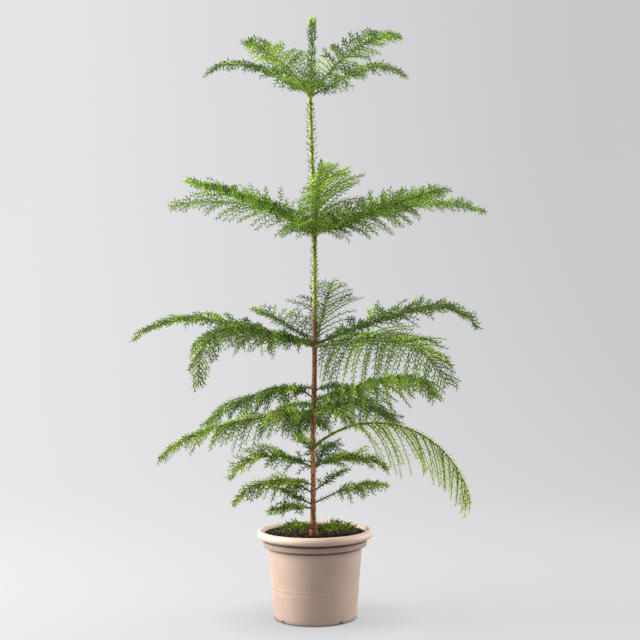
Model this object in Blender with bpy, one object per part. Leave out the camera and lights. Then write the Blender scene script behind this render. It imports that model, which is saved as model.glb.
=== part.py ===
"""Potted Norfolk Island pine, a young plant about 1.25 m tall in a 24 cm pot.

The origin is the centre of the pot's flat underside, and +Z is up. -Y is the front of the plant.
The pot, the potting mix, the trunk and each main bough are solids of their own. A frond grows from
each bough's tip as one solid: a stem with a pair of side shoots at each step, and a frond that
arches round a wide space is two. Side shoots are slim cores that whorls of needles stand out of.
Sizes are in metres and angles in degrees.
"""

import math
import random
from collections import namedtuple

import bmesh
import bpy
from mathutils import Vector

GAP = 0.0003  # clear space between pieces that meet
UP = Vector((0, 0, 1))
SIXTH = math.pi / 3

# Pot
POT_SIDES = 32
RIM_TOP = 0.182
RIM_RADIUS = 0.120
RIM_DEPTH = 0.0165
COLLAR_FOOT = 0.1495
COLLAR_RADIUS = 0.1075
BODY_TOP_RADIUS = 0.0975
BODY_FOOT_RADIUS = 0.0865
BODY_FOOT = 0.018
FOOT_RADIUS = 0.0825
WALL = 0.0025
PAD_RADIUS = 0.030
FOOT_RING_INNER = 0.070
RECESS = 0.004
CHAMFER = 0.003
LEDGE = 0.001
FLOOR_ROUND = 0.004
ROUND_ANGLE = 32

# Potting mix
SOIL_SIDES = 24
SOIL_TOP = 0.1690
SOIL_RINGS = (0.012, 0.038, 0.066, 0.090)
SOIL_LEVEL = 0.013  # radius of the level patch that the trunk stands on
SOIL_LUMP = 0.0022
SOIL_BANK = 0.0015
SOIL_GAP = GAP * 1.6
SOIL_SEED = 12

# Trunk: height, radius and sideways wander of its centre line
TRUNK_SIDES = 9
TRUNK_FOOT = SOIL_TOP + GAP
TRUNK_STATIONS = (
    # height above the foot, radius, x, y
    (0.000, 0.0105, -0.002, 0.000),
    (0.008, 0.0082, -0.002, 0.000),
    (0.024, 0.0062, -0.003, 0.000),
    (0.055, 0.0054, -0.003, 0.001),
    (0.110, 0.0052, -0.002, 0.001),
    (0.180, 0.0053, -0.003, 0.000),
    (0.280, 0.0052, 0.001, -0.001),
    (0.400, 0.0053, 0.004, 0.000),
    (0.520, 0.0049, 0.005, 0.001),
    (0.630, 0.0050, 0.005, 0.000),
    (0.780, 0.0044, 0.002, -0.001),
    (0.915, 0.0044, -0.001, 0.000),
    (0.945, 0.0030, 0.000, 0.000),
    (1.030, 0.0022, 0.004, 0.000),
)
LEADER_TUFT = 0.050
TUFT_WHORLS = 4
TUFT_THINNING = 0.15
TUFT_NARROWING = 0.0008
LEADER_LEAN = (0.09, 0.0)

# Boughs and fronds
BOUGH_SIDES = 4
BOUGH_STEPS = 3
BOUGH_FLARE = 1.2
LOW_LIMB_RADIUS = 0.0033
HIGH_LIMB_RADIUS = 0.0023
LOW_LIMB_HEIGHT = 0.3
HIGH_LIMB_HEIGHT = 1.1
STEM_TIP_RADIUS = 0.0012
SHOOT_RADIUS = 0.0017
LIMB_TAPER = 0.8
STEM_BARE = 0.012
STEM_SWELL = 1.15
AXIS_STEPS = 12

# Side shoots and needles
SHOOT_STEP = 0.036
SHOOT_STAGGER = 0.25  # share of a step that the two sides differ by
SHOOT_FIRST = 0.006  # distance from the bough's tip to the first side shoot
SHOOT_FIRST_LOW = 0.022  # and from the trunk, on a frond with no bough
SHOOT_LAST = 0.004
SHOOT_LEAST = 0.018
SHOOT_SWELL = (0.55, 2.2)
SHOOT_TAPER = (0.82, 1.5)
SHOOT_VARIETY = (0.85, 1.1)
SHORTENED = (1.0, 0.7, 0.45)  # lengths tried in turn where a shoot would touch something
SPREAD_ROOT = 74
SPREAD_TIP = 44
SPREAD_VARIETY = 5
LIFT_VARIETY = 9
SHOOT_BEND = 0.5
SHOOT_TURN = 0.15
SHOOT_SUNK = 0.15
SHOOT_THINNING = 0.5
SOIL_CLEARANCE = 0.012
NEEDLE_REACH = 0.009
NEEDLE_SHRINK = 0.92
NEEDLE_SHARE = 0.86  # share of a whorl's step that its needles lean forwards over
STEM_NEEDLE_REACH = 0.0081
WHORL_STEP = 0.036
LAST_STEP = 0.4  # share of a step between the last whorl and the tip
FROND_SEED = 41

Frond = namedtuple(
    "Frond",
    "name height heading turn length rise fall curl bare reach roll lift split",
)
# heading: 0 is +X and 90 is the back; turn: sideways bend from root to tip. rise and fall: slope at
# the root and at the tip, short of vertical; curl: how late the slope changes. bare: length of the
# limb before its first side shoot, and 0 for a frond that starts on the trunk. reach: longest side
# shoot. roll: tilt of the frond about its stem. lift: how far the side shoots stand above its plane.
# split: share of the leafy length where an arching frond is parted in two, or 0.
FRONDS = (
    Frond("tier_1_left", 1.093, 172, 15, 0.243, 30, -56, 3.0, 0.034, 0.052, 20, -6, 0),
    Frond("tier_1_front_left", 1.088, 238, -10, 0.215, 33, 5, 1.0, 0.030, 0.066, 0, 4, 0),
    Frond("tier_1_front_right", 1.093, 312, 0, 0.275, 31, -22, 2.0, 0.045, 0.056, 14, -4, 0),
    Frond("tier_1_right", 1.088, 14, 20, 0.250, 31, -38, 3.0, 0.040, 0.050, -16, -6, 0),
    Frond("tier_1_back", 1.094, 95, 0, 0.180, 28, 8, 1.5, 0.000, 0.050, 0, 4, 0),
    Frond("tier_2_left", 0.802, 168, 10, 0.319, 29, -17, 1.5, 0.030, 0.092, 42, 0, 0),
    Frond("tier_2_front_left", 0.796, 222, 4, 0.335, 24, 2, 1.0, 0.028, 0.086, 24, 6, 0),
    Frond("tier_2_front", 0.802, 271, 4, 0.290, 22, 18, 1.0, 0.026, 0.115, -30, 4, 0),
    Frond("tier_2_front_right", 0.796, 322, 7, 0.310, 17, 9, 1.0, 0.032, 0.096, 26, 6, 0),
    Frond("tier_2_right", 0.802, 5, 8, 0.374, 18, -21, 2.5, 0.050, 0.088, -26, -4, 0),
    Frond("tier_2_back", 0.796, 93, -6, 0.310, 20, -14, 1.5, 0.034, 0.092, 8, 0, 0),
    Frond("tier_3_left", 0.563, 175, 0, 0.397, 17, -42, 3.0, 0.040, 0.084, 2, 0, 0),
    Frond("tier_3_front_left", 0.570, 209, 58, 0.430, 11, -86, 3.0, 0.045, 0.090, 0, -26, 0.58),
    Frond("tier_3_back_left", 0.570, 126, 4, 0.225, 24, 14, 1.0, 0.036, 0.075, 12, 26, 0),
    Frond("tier_3_back", 0.563, 80, 0, 0.270, 37, 28, 1.0, 0.038, 0.108, 0, 12, 0),
    Frond("tier_3_right", 0.568, 17, -4, 0.386, 19, -64, 4.5, 0.042, 0.088, -4, 2, 0),
    Frond("tier_3_front_right", 0.561, 310, -12, 0.434, 5, -51, 2.7, 0.040, 0.112, -22, -20, 0),
    Frond("tier_4_back_left", 0.476, 150, 2, 0.290, -2, -40, 1.5, 0.034, 0.092, 0, -26, 0),
    Frond("tier_4_left", 0.426, 192, -15, 0.335, -6, -47, 3.0, 0.038, 0.094, 10, -24, 0),
    Frond("tier_4_front_right", 0.452, 332, -20, 0.311, 16, -66, 4.5, 0.036, 0.098, -4, -32, 0),
    Frond("tier_4_back_right", 0.428, 42, 0, 0.255, 17, -36, 1.0, 0.034, 0.096, 0, -14, 0),
    Frond("tier_4_right", 0.354, 352, -15, 0.412, 41, -79, 1.0, 0.045, 0.112, 0, -56, 0.45),
    Frond("tier_4_back", 0.398, 98, 0, 0.285, 12, -44, 1.5, 0.034, 0.086, 0, -16, 0),
    Frond("tier_4_front", 0.345, 252, 20, 0.160, 26, -8, 1.5, 0.000, 0.044, 8, 0, 0),
    Frond("tier_5_left", 0.312, 188, 16, 0.188, 24, -60, 1.7, 0.000, 0.054, 10, 8, 0),
    Frond("tier_5_right", 0.312, 352, 10, 0.157, 20, -47, 1.8, 0.000, 0.050, 0, 4, 0),
    Frond("tier_5_back", 0.300, 76, 0, 0.200, 32, -10, 1.0, 0.000, 0.062, 0, 4, 0),
    Frond("tier_6_left", 0.258, 195, -12, 0.186, 40, -54, 1.0, 0.000, 0.050, 10, -26, 0),
    Frond("tier_6_right", 0.237, 345, -24, 0.170, 26, -14, 2.5, 0.000, 0.054, 0, -24, 0),
    Frond("tier_7_left", 0.225, 202, 0, 0.100, 16, -18, 1.0, 0.000, 0.032, 0, -10, 0),
    Frond("low_sprig_left", 0.184, 212, 0, 0.076, 18, -16, 1.0, 0.000, 0.032, 0, 12, 0),
    Frond("low_sprig_right", 0.183, 335, 10, 0.090, 10, -6, 1.0, 0.000, 0.034, 0, 14, 0),
)

POT_COLOUR = (0.60, 0.50, 0.42)
SOIL_COLOUR = (0.045, 0.030, 0.022)
BARK_COLOUR = (0.17, 0.11, 0.07)
UPPER_GREEN = (0.24, 0.38, 0.06)
LOWER_GREEN = (0.10, 0.20, 0.05)


# ------------------------------------------------------------------------------------- helpers


def clear_scene():
    for obj in list(bpy.data.objects):
        bpy.data.objects.remove(obj, do_unlink=True)


def material(name, colour, roughness):
    made = bpy.data.materials.new(name)
    made.use_nodes = True
    shader = made.node_tree.nodes["Principled BSDF"]
    shader.inputs["Base Color"].default_value = (*colour, 1)
    shader.inputs["Roughness"].default_value = roughness
    shader.inputs["Metallic"].default_value = 0
    return made


def add_object(name, points, faces, finish=None, smooth_angle=None):
    mesh = bpy.data.meshes.new(name)
    mesh.from_pydata([tuple(p) for p in points], [], faces)
    mesh.update()
    if smooth_angle is not None:
        mesh.shade_smooth()
        mesh.set_sharp_from_angle(angle=math.radians(smooth_angle))
    if finish is not None:
        mesh.materials.append(finish)
    obj = bpy.data.objects.new(name, mesh)
    bpy.context.scene.collection.objects.link(obj)
    return obj


def own_mesh(obj):
    """Applies the object's modifiers and leaves it with that mesh."""
    graph = bpy.context.evaluated_depsgraph_get()
    mesh = bpy.data.meshes.new_from_object(obj.evaluated_get(graph))
    obj.modifiers.clear()
    obj.data = mesh


def turned(profile, sides):
    """Points and faces of a closed profile turned about Z. A radius of 0 is a point on the axis."""
    points, rings, faces = [], [], []
    for radius, height in profile:
        count = sides if radius > 0 else 1
        rings.append([len(points) + i for i in range(count)])
        for i in range(count):
            angle = 2 * math.pi * i / sides
            points.append(Vector((radius * math.cos(angle), radius * math.sin(angle), height)))
    for low, high in zip(rings, rings[1:]):
        for i in range(sides):
            j = (i + 1) % sides
            corners = (low[i % len(low)], low[j % len(low)], high[j % len(high)], high[i % len(high)])
            faces.append(tuple(dict.fromkeys(corners)))
    return points, faces


def segment_distance(a, b, c, d):
    """Least distance between the segments a-b and c-d."""
    u, v, w = b - a, d - c, a - c
    uu, uv, vv, uw, vw = u.dot(u), u.dot(v), v.dot(v), u.dot(w), v.dot(w)
    spread = uu * vv - uv * uv
    s = min(1, max(0, (uv * vw - vv * uw) / spread)) if spread > 1e-12 else 0
    t = (uv * s + vw) / vv if vv > 1e-12 else 0
    if not 0 <= t <= 1:
        t = min(1, max(0, t))
        s = min(1, max(0, (uv * t - uw) / uu)) if uu > 1e-12 else 0
    return (w + u * s - v * t).length


# ------------------------------------------------------------------------------------- pot, soil


def pot_profile():
    """Closed outline from the middle of the underside, out, up, over the rim and back inside."""
    rim_foot = RIM_TOP - RIM_DEPTH
    return [
        (0, 0),
        (PAD_RADIUS, 0),
        (PAD_RADIUS + CHAMFER, RECESS),
        (FOOT_RING_INNER - CHAMFER, RECESS),
        (FOOT_RING_INNER, 0),
        (FOOT_RADIUS, 0),
        (BODY_FOOT_RADIUS, BODY_FOOT),
        (BODY_TOP_RADIUS, COLLAR_FOOT - LEDGE),
        (COLLAR_RADIUS - LEDGE, COLLAR_FOOT),
        (COLLAR_RADIUS, rim_foot),
        (RIM_RADIUS - CHAMFER, rim_foot),
        (RIM_RADIUS, rim_foot + CHAMFER),
        (RIM_RADIUS, RIM_TOP - CHAMFER),
        (RIM_RADIUS - CHAMFER, RIM_TOP),
        (COLLAR_RADIUS, RIM_TOP),
        (COLLAR_RADIUS - WALL, RIM_TOP - CHAMFER),
        *inner_wall(),
        (0, floor_height()),
    ]


def floor_height():
    return RECESS + WALL


def inner_wall():
    """Inside of the pot from below the rim to the edge of its floor."""
    return (
        (COLLAR_RADIUS - WALL, COLLAR_FOOT + WALL),
        (BODY_TOP_RADIUS - WALL, COLLAR_FOOT - WALL),
        (BODY_FOOT_RADIUS - WALL, floor_height() + FLOOR_ROUND),
        (BODY_FOOT_RADIUS - WALL - FLOOR_ROUND, floor_height()),
    )


def make_pot():
    points, faces = turned(pot_profile(), POT_SIDES)
    add_object("pot", points, faces, material("beige plastic", POT_COLOUR, 0.55), ROUND_ANGLE)


def make_soil():
    """Potting mix that fills the pot to just under its rim, with a lumpy top."""
    rng = random.Random(SOIL_SEED)
    edge = COLLAR_RADIUS - WALL - SOIL_GAP
    profile = [(0, floor_height() + GAP)]
    profile += [(radius - SOIL_GAP, height + GAP) for radius, height in reversed(inner_wall())]
    profile += [(edge, SOIL_TOP + SOIL_BANK)]
    profile += [(radius, SOIL_TOP) for radius in reversed(SOIL_RINGS)] + [(0, SOIL_TOP)]
    points, faces = turned(profile, SOIL_SIDES)
    for point in points:
        if point.z == SOIL_TOP and math.hypot(point.x, point.y) > SOIL_LEVEL:
            point.z += rng.uniform(-SOIL_LUMP, SOIL_LUMP)
    add_object("soil", points, faces, material("peat", SOIL_COLOUR, 0.95))


# ------------------------------------------------------------------------------------- limbs


def trunk_at(height):
    """Centre and radius of the trunk at a height above the pot's underside."""
    above = height - TRUNK_FOOT
    for low, high in zip(TRUNK_STATIONS, TRUNK_STATIONS[1:]):
        if above <= high[0]:
            break
    share = (above - low[0]) / (high[0] - low[0])
    radius, x, y = (low[i] + share * (high[i] - low[i]) for i in (1, 2, 3))
    return Vector((x, y, height)), radius


def frame_of(direction):
    """Two unit vectors square to the direction: one sideways, and one up from the plane."""
    side = direction.cross(UP)
    if side.length < 1e-6:
        side = Vector((1, 0, 0))
    side.normalize()
    return side, side.cross(direction).normalized()


def ring(centre, direction, radius, sides, turn=0.0):
    side, over = frame_of(direction)
    points = []
    for i in range(sides):
        angle = 2 * math.pi * i / sides + turn
        points.append(centre + radius * (math.cos(angle) * side - math.sin(angle) * over))
    return points


def tube(rings):
    """Closed mesh through rings of equal size. A last ring of one point is a tip."""
    points = [p for part in rings for p in part]
    sides = len(rings[0])
    faces = [tuple(reversed(range(sides)))]
    for i in range(len(rings) - 1):
        first = i * sides
        for j in range(sides):
            k = (j + 1) % sides
            if len(rings[i + 1]) == 1:
                faces.append((first + j, first + k, first + sides))
            else:
                faces.append((first + j, first + k, first + sides + k, first + sides + j))
    if len(rings[-1]) > 1:
        faces.append(tuple(range(len(points) - sides, len(points))))
    return points, faces


def make_trunk(bark):
    rings = []
    for above, radius, x, y in TRUNK_STATIONS:
        rings.append(ring(Vector((x, y, TRUNK_FOOT + above)), UP, radius, TRUNK_SIDES))
    points, faces = tube(rings)
    add_object("trunk", points, faces, bark, 60)


def frond_axis(frond):
    """Centre line from the trunk's surface to the tip, as points at even steps."""
    centre, radius = trunk_at(frond.height)
    heading = math.radians(frond.heading)
    out = Vector((math.cos(heading), math.sin(heading), 0))
    at = centre + out * (radius + GAP)
    points = [at]
    step = frond.length / AXIS_STEPS
    for i in range(AXIS_STEPS):
        share = (i + 0.5) / AXIS_STEPS
        turned_to = math.radians(frond.heading + frond.turn * share)
        slope = math.radians(frond.rise + (frond.fall - frond.rise) * share**frond.curl)
        flat = Vector((math.cos(turned_to), math.sin(turned_to), 0))
        at = at + step * (math.cos(slope) * flat + math.sin(slope) * UP)
        points.append(at)
    return points


def along(points, distance):
    """Point and direction at a distance along a chain of points."""
    for a, b in zip(points, points[1:]):
        span = (b - a).length
        if distance <= span:
            break
        distance -= span
    return a + (b - a) * (distance / span), (b - a).normalized()


def stretch(axis, start, end, steps):
    """Points and directions at even steps between two distances along the axis."""
    return [along(axis, start + (end - start) * i / steps) for i in range(steps + 1)]


def limb_radius(frond, distance):
    """Radius of bough and stem, which are thinner high on the plant and towards their tips."""
    above = (frond.height - LOW_LIMB_HEIGHT) / (HIGH_LIMB_HEIGHT - LOW_LIMB_HEIGHT)
    root = LOW_LIMB_RADIUS + (HIGH_LIMB_RADIUS - LOW_LIMB_RADIUS) * min(1, max(0, above))
    return root + (STEM_TIP_RADIUS - root) * min(1, distance / frond.length) ** LIMB_TAPER


def make_bough(frond, axis, bark):
    heading = math.radians(frond.heading)
    out = Vector((math.cos(heading), math.sin(heading), 0))
    rings = []
    for i, (at, direction) in enumerate(stretch(axis, 0, frond.bare, BOUGH_STEPS)):
        radius = limb_radius(frond, frond.bare * i / BOUGH_STEPS) * (BOUGH_FLARE if i == 0 else 1)
        rings.append(ring(at, out if i == 0 else direction, radius, BOUGH_SIDES))
    points, faces = tube(rings)
    add_object(frond.name + "_bough", points, faces, bark, 60)


# ------------------------------------------------------------------------------------- foliage


def spray(path, core, reach, twist):
    """Slim three-sided core along the path with whorls of three needles that point forwards."""
    length = sum((b - a).length for a, b in zip(path, path[1:]))
    whorls = max(1, round(length / WHORL_STEP))
    step = length / (whorls + LAST_STEP)
    rings = []
    for i in range(whorls):
        thin, end = core * (1 - SHOOT_THINNING * i / whorls), step * (i + NEEDLE_SHARE)
        rings += whorl(path, step * i, end, thin, reach, twist + SIXTH * len(rings))
        reach *= NEEDLE_SHRINK
    return spiky_tube(rings + [[path[-1]]])


def whorl(path, start, end, core, reach, turn):
    """The ring where three needles leave the core, and the ring of their points."""
    at, direction = along(path, start)
    tip_at, tip_direction = along(path, end)
    return [ring(at, direction, core, 3, turn), ring(tip_at, tip_direction, reach, 3, turn + SIXTH)]


def spiky_tube(rings):
    """Closed mesh through rings of three, each turned by a sixth from the last, up to one point."""
    points = [p for part in rings for p in part]
    faces = [(2, 1, 0)]
    for i in range(len(rings) - 1):
        first, following = 3 * i, 3 * (i + 1)
        for j in range(3):
            if len(rings[i + 1]) == 1:
                faces.append((first + j, first + (j + 1) % 3, following))
            else:
                faces.append((first + j, first + (j + 1) % 3, following + j))
                faces.append((first + j, following + j, following + (j + 2) % 3))
    return points, faces


def shoot_length(frond, share):
    """Length of a side shoot at a share of the leafy length: short at both ends."""
    swell = min(1, SHOOT_SWELL[0] + SHOOT_SWELL[1] * share)
    return frond.reach * swell * (1 - SHOOT_TAPER[0] * share ** SHOOT_TAPER[1])


def shoot_path(frond, axis, distance, side_sign, length, rng):
    """Centre line of one side shoot: out and forwards, bending with the frond's lift."""
    at, direction = along(axis, distance)
    side, over = frame_of(direction)
    roll = math.radians(frond.roll)
    side, over = (
        side * math.cos(roll) + over * math.sin(roll),
        over * math.cos(roll) - side * math.sin(roll),
    )
    share = (distance - frond.bare) / (frond.length - frond.bare)
    spread = SPREAD_ROOT + (SPREAD_TIP - SPREAD_ROOT) * share
    spread = math.radians(spread + rng.uniform(-SPREAD_VARIETY, SPREAD_VARIETY))
    lift = math.radians(frond.lift + rng.uniform(-LIFT_VARIETY, LIFT_VARIETY))
    raised = (over + UP).normalized()
    outward = side * side_sign * math.cos(lift) + raised * math.sin(lift)
    first = direction * math.cos(spread) + outward * math.sin(spread)
    second = (first + raised * math.tan(lift) * SHOOT_BEND + direction * SHOOT_TURN).normalized()
    middle = at + first * length * 0.5
    return [at, middle, middle + second * length * 0.5]


def clear_of_others(path, reach, owner, taken):
    for other, a, b, radius in taken:
        if other == owner:
            continue
        for c, d in zip(path, path[1:]):
            if segment_distance(a, b, c, d) < radius + reach + GAP:
                return False
    return True


def pieces_of(frond):
    """Names and leafy stretches of the frond: one, or two where it is parted at its bend."""
    if not frond.split:
        return [(frond.name + "_foliage", frond.bare, frond.length)]
    bend = frond.bare + frond.split * (frond.length - frond.bare)
    return [
        (frond.name + "_inner_foliage", frond.bare, bend),
        (frond.name + "_outer_foliage", bend, frond.length),
    ]


def stem_piece(frond, axis, start, end):
    """The stem of one mass with its own needles, from just clear of what carries it."""
    begin = start + GAP if start > 0 else 0
    at, direction = along(axis, begin)
    if begin == 0:
        direction = (direction - UP * direction.dot(UP)).normalized()
    rings = [ring(at, direction, limb_radius(frond, begin), 3)]
    at, direction = along(axis, begin + STEM_BARE / 2)
    rings.append(ring(at, direction, limb_radius(frond, begin) * STEM_SWELL, 3, SIXTH))
    whorls = max(1, round((end - begin - STEM_BARE) / WHORL_STEP))
    step = (end - begin - STEM_BARE) / (whorls + LAST_STEP)
    for i in range(whorls):
        low = begin + STEM_BARE + step * i
        high, thin = low + step * NEEDLE_SHARE, limb_radius(frond, low)
        rings += whorl(axis, low, high, thin, STEM_NEEDLE_REACH, SIXTH * len(rings))
    last = end if end == frond.length else end - GAP
    return spiky_tube(rings + [[along(axis, last)[0]]])


def shoot_places(frond, start, end):
    """Distances and sides of the side shoots of one mass."""
    first = frond.bare + SHOOT_FIRST if frond.bare else SHOOT_FIRST_LOW
    for i in range(int((frond.length - first) / SHOOT_STEP)):
        for side_sign, stagger in ((-1, 0), (1, SHOOT_STAGGER)):
            distance = first + SHOOT_STEP * (i + stagger)
            if start + SHOOT_LAST < distance < end - SHOOT_LAST:
                yield distance, side_sign


def joined(name, body, shoots, finish):
    """One Boolean union of the stem with the collection of its side shoots."""
    stem = add_object(name, *body, finish)
    group = bpy.data.collections.new(name + "_shoots")
    for i, (points, faces) in enumerate(shoots):
        shoot = add_object(f"{name}_shoot_{i}", points, faces)
        bpy.context.scene.collection.objects.unlink(shoot)
        group.objects.link(shoot)
    union = stem.modifiers.new("union", "BOOLEAN")
    union.operation = "UNION"
    union.operand_type = "COLLECTION"
    union.collection = group
    union.solver = "MANIFOLD"
    own_mesh(stem)
    for shoot in list(group.objects):
        bpy.data.objects.remove(shoot, do_unlink=True)
    bpy.data.collections.remove(group)
    keep_largest_shell(stem)
    if not stem.data.materials:
        stem.data.materials.append(finish)
    return stem


def keep_largest_shell(obj):
    """Drops the loose scraps and the sealed hollows that a union can leave."""
    mesh = bmesh.new()
    mesh.from_mesh(obj.data)
    seen, shells = set(), []
    for start in mesh.faces:
        if start in seen:
            continue
        shell, queue = [], [start]
        seen.add(start)
        while queue:
            face = queue.pop()
            shell.append(face)
            for edge in face.edges:
                for near in edge.link_faces:
                    if near not in seen:
                        seen.add(near)
                        queue.append(near)
        shells.append(shell)
    shells.sort(key=len)
    for shell in shells[:-1]:
        bmesh.ops.delete(mesh, geom=shell, context="FACES")
    mesh.to_mesh(obj.data)
    mesh.free()


def foliage_finish(frond):
    share = min(1, max(0, (frond.height - 0.2) / 0.8))
    colour = [low + share * (high - low) for low, high in zip(LOWER_GREEN, UPPER_GREEN)]
    return material(frond.name + " needles", colour, 0.6)


def reserve_limbs(axes, taken):
    """Lists the trunk and every stem as taken space, so that no shoot runs into one."""
    for low, high in zip(TRUNK_STATIONS, TRUNK_STATIONS[1:]):
        a = Vector((low[2], low[3], TRUNK_FOOT + low[0]))
        b = Vector((high[2], high[3], TRUNK_FOOT + high[0]))
        taken.append(("trunk", a, b, max(low[1], high[1])))
    for frond in FRONDS:
        for a, b in zip(axes[frond.name], axes[frond.name][1:]):
            taken.append((frond.name, a, b, NEEDLE_REACH))


def grow_shoots(frond, axis, start, end, taken, rng):
    """Side shoots of one mass that keep clear of every limb and of every other mass."""
    grown = []
    for distance, side_sign in shoot_places(frond, start, end):
        share = (distance - frond.bare) / (frond.length - frond.bare)
        length = shoot_length(frond, share) * rng.uniform(*SHOOT_VARIETY)
        for shorter in SHORTENED:
            path = shoot_path(frond, axis, distance, side_sign, length * shorter, rng)
            outer = [path[0] + (path[1] - path[0]) * SHOOT_SUNK, path[1], path[2]]
            if length * shorter < SHOOT_LEAST or min(p.z for p in path) < SOIL_TOP + SOIL_CLEARANCE:
                continue
            if clear_of_others(outer, NEEDLE_REACH, frond.name, taken):
                break
        else:
            continue
        taken.extend((frond.name, a, b, NEEDLE_REACH) for a, b in zip(path, path[1:]))
        grown.append(path)
    return grown


def parted(frond, paths, other_paths):
    """Drops the shoots that would touch those of the frond's other half."""
    kept = []
    for path in paths:
        others = [("other", a, b, NEEDLE_REACH) for p in other_paths for a, b in zip(p, p[1:])]
        if clear_of_others(path, NEEDLE_REACH, frond.name, others):
            kept.append(path)
    return kept


def make_fronds(bark):
    taken = []
    axes = {frond.name: frond_axis(frond) for frond in FRONDS}
    reserve_limbs(axes, taken)
    for index, frond in enumerate(FRONDS):
        rng = random.Random(FROND_SEED + index)
        axis = axes[frond.name]
        if frond.bare:
            make_bough(frond, axis, bark)
        finish = foliage_finish(frond)
        before = []
        for name, start, end in pieces_of(frond):
            paths = parted(frond, grow_shoots(frond, axis, start, end, taken, rng), before)
            before += paths
            shoots = []
            for path in paths:
                shoots.append(spray(path, SHOOT_RADIUS, NEEDLE_REACH, rng.uniform(0, math.pi)))
            joined(name, stem_piece(frond, axis, start, end), shoots, finish)


def make_leader_tuft():
    """The tuft of needles on the trunk's tip."""
    above, radius, x, y = TRUNK_STATIONS[-1]
    foot = Vector((x, y, TRUNK_FOOT + above + GAP))
    lean = Vector((*LEADER_LEAN, 1)).normalized()
    path = [foot, foot + UP * LEADER_TUFT / 2, foot + UP * LEADER_TUFT / 2 + lean * LEADER_TUFT / 2]
    rings = []
    step = LEADER_TUFT / (TUFT_WHORLS + LAST_STEP)
    for i in range(TUFT_WHORLS):
        core, reach = radius * (1 - TUFT_THINNING * i), NEEDLE_REACH - TUFT_NARROWING * i
        rings += whorl(path, step * i, step * (i + NEEDLE_SHARE), core, reach, SIXTH * len(rings))
    rings.append([path[-1]])
    add_object("leader_tuft", *spiky_tube(rings), material("leader needles", UPPER_GREEN, 0.6))


def main():
    clear_scene()
    bark = material("bark", BARK_COLOUR, 0.85)
    make_pot()
    make_soil()
    make_trunk(bark)
    make_fronds(bark)
    make_leader_tuft()


main()
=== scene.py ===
"""Looks for the potted Norfolk Island pine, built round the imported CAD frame.

Everything is in the frame's metres: +Z is up and -Y is the front. The plant grows here by the rule
of the CAD source, with more and closer side shoots, each carrying a spiral of awl-shaped needles.
"""

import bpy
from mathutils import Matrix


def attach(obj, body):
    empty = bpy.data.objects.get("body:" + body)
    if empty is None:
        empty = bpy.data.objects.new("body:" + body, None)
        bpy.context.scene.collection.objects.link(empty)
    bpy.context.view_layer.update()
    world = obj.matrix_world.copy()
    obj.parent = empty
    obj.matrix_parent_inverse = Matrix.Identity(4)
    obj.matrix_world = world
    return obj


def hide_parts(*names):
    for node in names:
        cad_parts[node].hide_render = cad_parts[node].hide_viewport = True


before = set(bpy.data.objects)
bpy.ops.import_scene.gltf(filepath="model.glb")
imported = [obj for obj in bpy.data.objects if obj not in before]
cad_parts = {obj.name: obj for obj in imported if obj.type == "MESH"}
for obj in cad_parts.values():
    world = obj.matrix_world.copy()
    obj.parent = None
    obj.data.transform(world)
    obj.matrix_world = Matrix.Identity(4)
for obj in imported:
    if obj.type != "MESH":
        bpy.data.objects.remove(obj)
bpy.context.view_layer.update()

import math
import random
from collections import namedtuple

import bpy
import numpy as np
from mathutils import Matrix, Vector, noise

UP = np.array((0.0, 0.0, 1.0))
GOLDEN_ANGLE = math.radians(137.508)

# Camera of the photograph
CAMERA_AT = (0.0, -2.296, 0.555)
CAMERA_YAW = 0.378
CAMERA_PITCH = 1.52
CAMERA_ROLL = 0.57
LENS = 61.875

# Floor and backdrop. Each glow has the two places that it runs between and its strength at them.
FLOOR_RADIUS = 1.6
FLOOR_BEND = 2.6
BACKDROP_TOP = 5.5
GLOW_ACROSS = (-1.5, 1.5, 0.765, 0.545)
GLOW_DEEP = (-2.2, -0.12, 0.62, 1.0)
# Painted shadow: the glow is dimmed round the pot and almost put out under its foot
PAINTED_SHADOW_BY_POT = (0.09, 0.22, 0.84, 1.0)
PAINTED_SHADOW_UNDER_POT = (0.079, 0.089, 0.15, 1.0)

# Pot
POT_SEGMENTS = 192
RIM_TOP = 0.182
RIM_RADIUS = 0.120
RIM_DEPTH = 0.0165
COLLAR_FOOT = 0.1495
COLLAR_RADIUS = 0.1075
BODY_TOP_RADIUS = 0.0975
BODY_FOOT_RADIUS = 0.0865
BODY_FOOT = 0.018
FOOT_RADIUS = 0.0825
WALL = 0.0025
RECESS = 0.004
RIB_HEIGHTS = (0.0552, 0.0596, 0.0684)
RIB_PROUD = 0.0004
DRAIN_COUNT = 8
DRAIN_RADIUS = 0.005
DRAIN_CIRCLE = 0.052
DRAIN_SIDES = 28
DRAIN_MIDDLE = 0.0035
DRAIN_DEPTH = 0.02
NOTCH_COUNT = 4
NOTCH_FIRST = -142
NOTCH_LENGTH = 0.014
NOTCH_WIDTH = 0.010
NOTCH_DEPTH = 0.006

# Potting mix
SOIL_TOP = 0.1690
SOIL_RADIUS = 0.1046
SOIL_RINGS = 70
SOIL_SEGMENTS = 200
CRUMB_COUNT = 900
PALE_CRUMBS = 0.16
FIBRE_COUNT = 220
FIBRE_RADII = (0.00035, 0.0004, 0.0003, 0.0001)
TRUNK_FOOT_SPACE = 0.012

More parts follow.
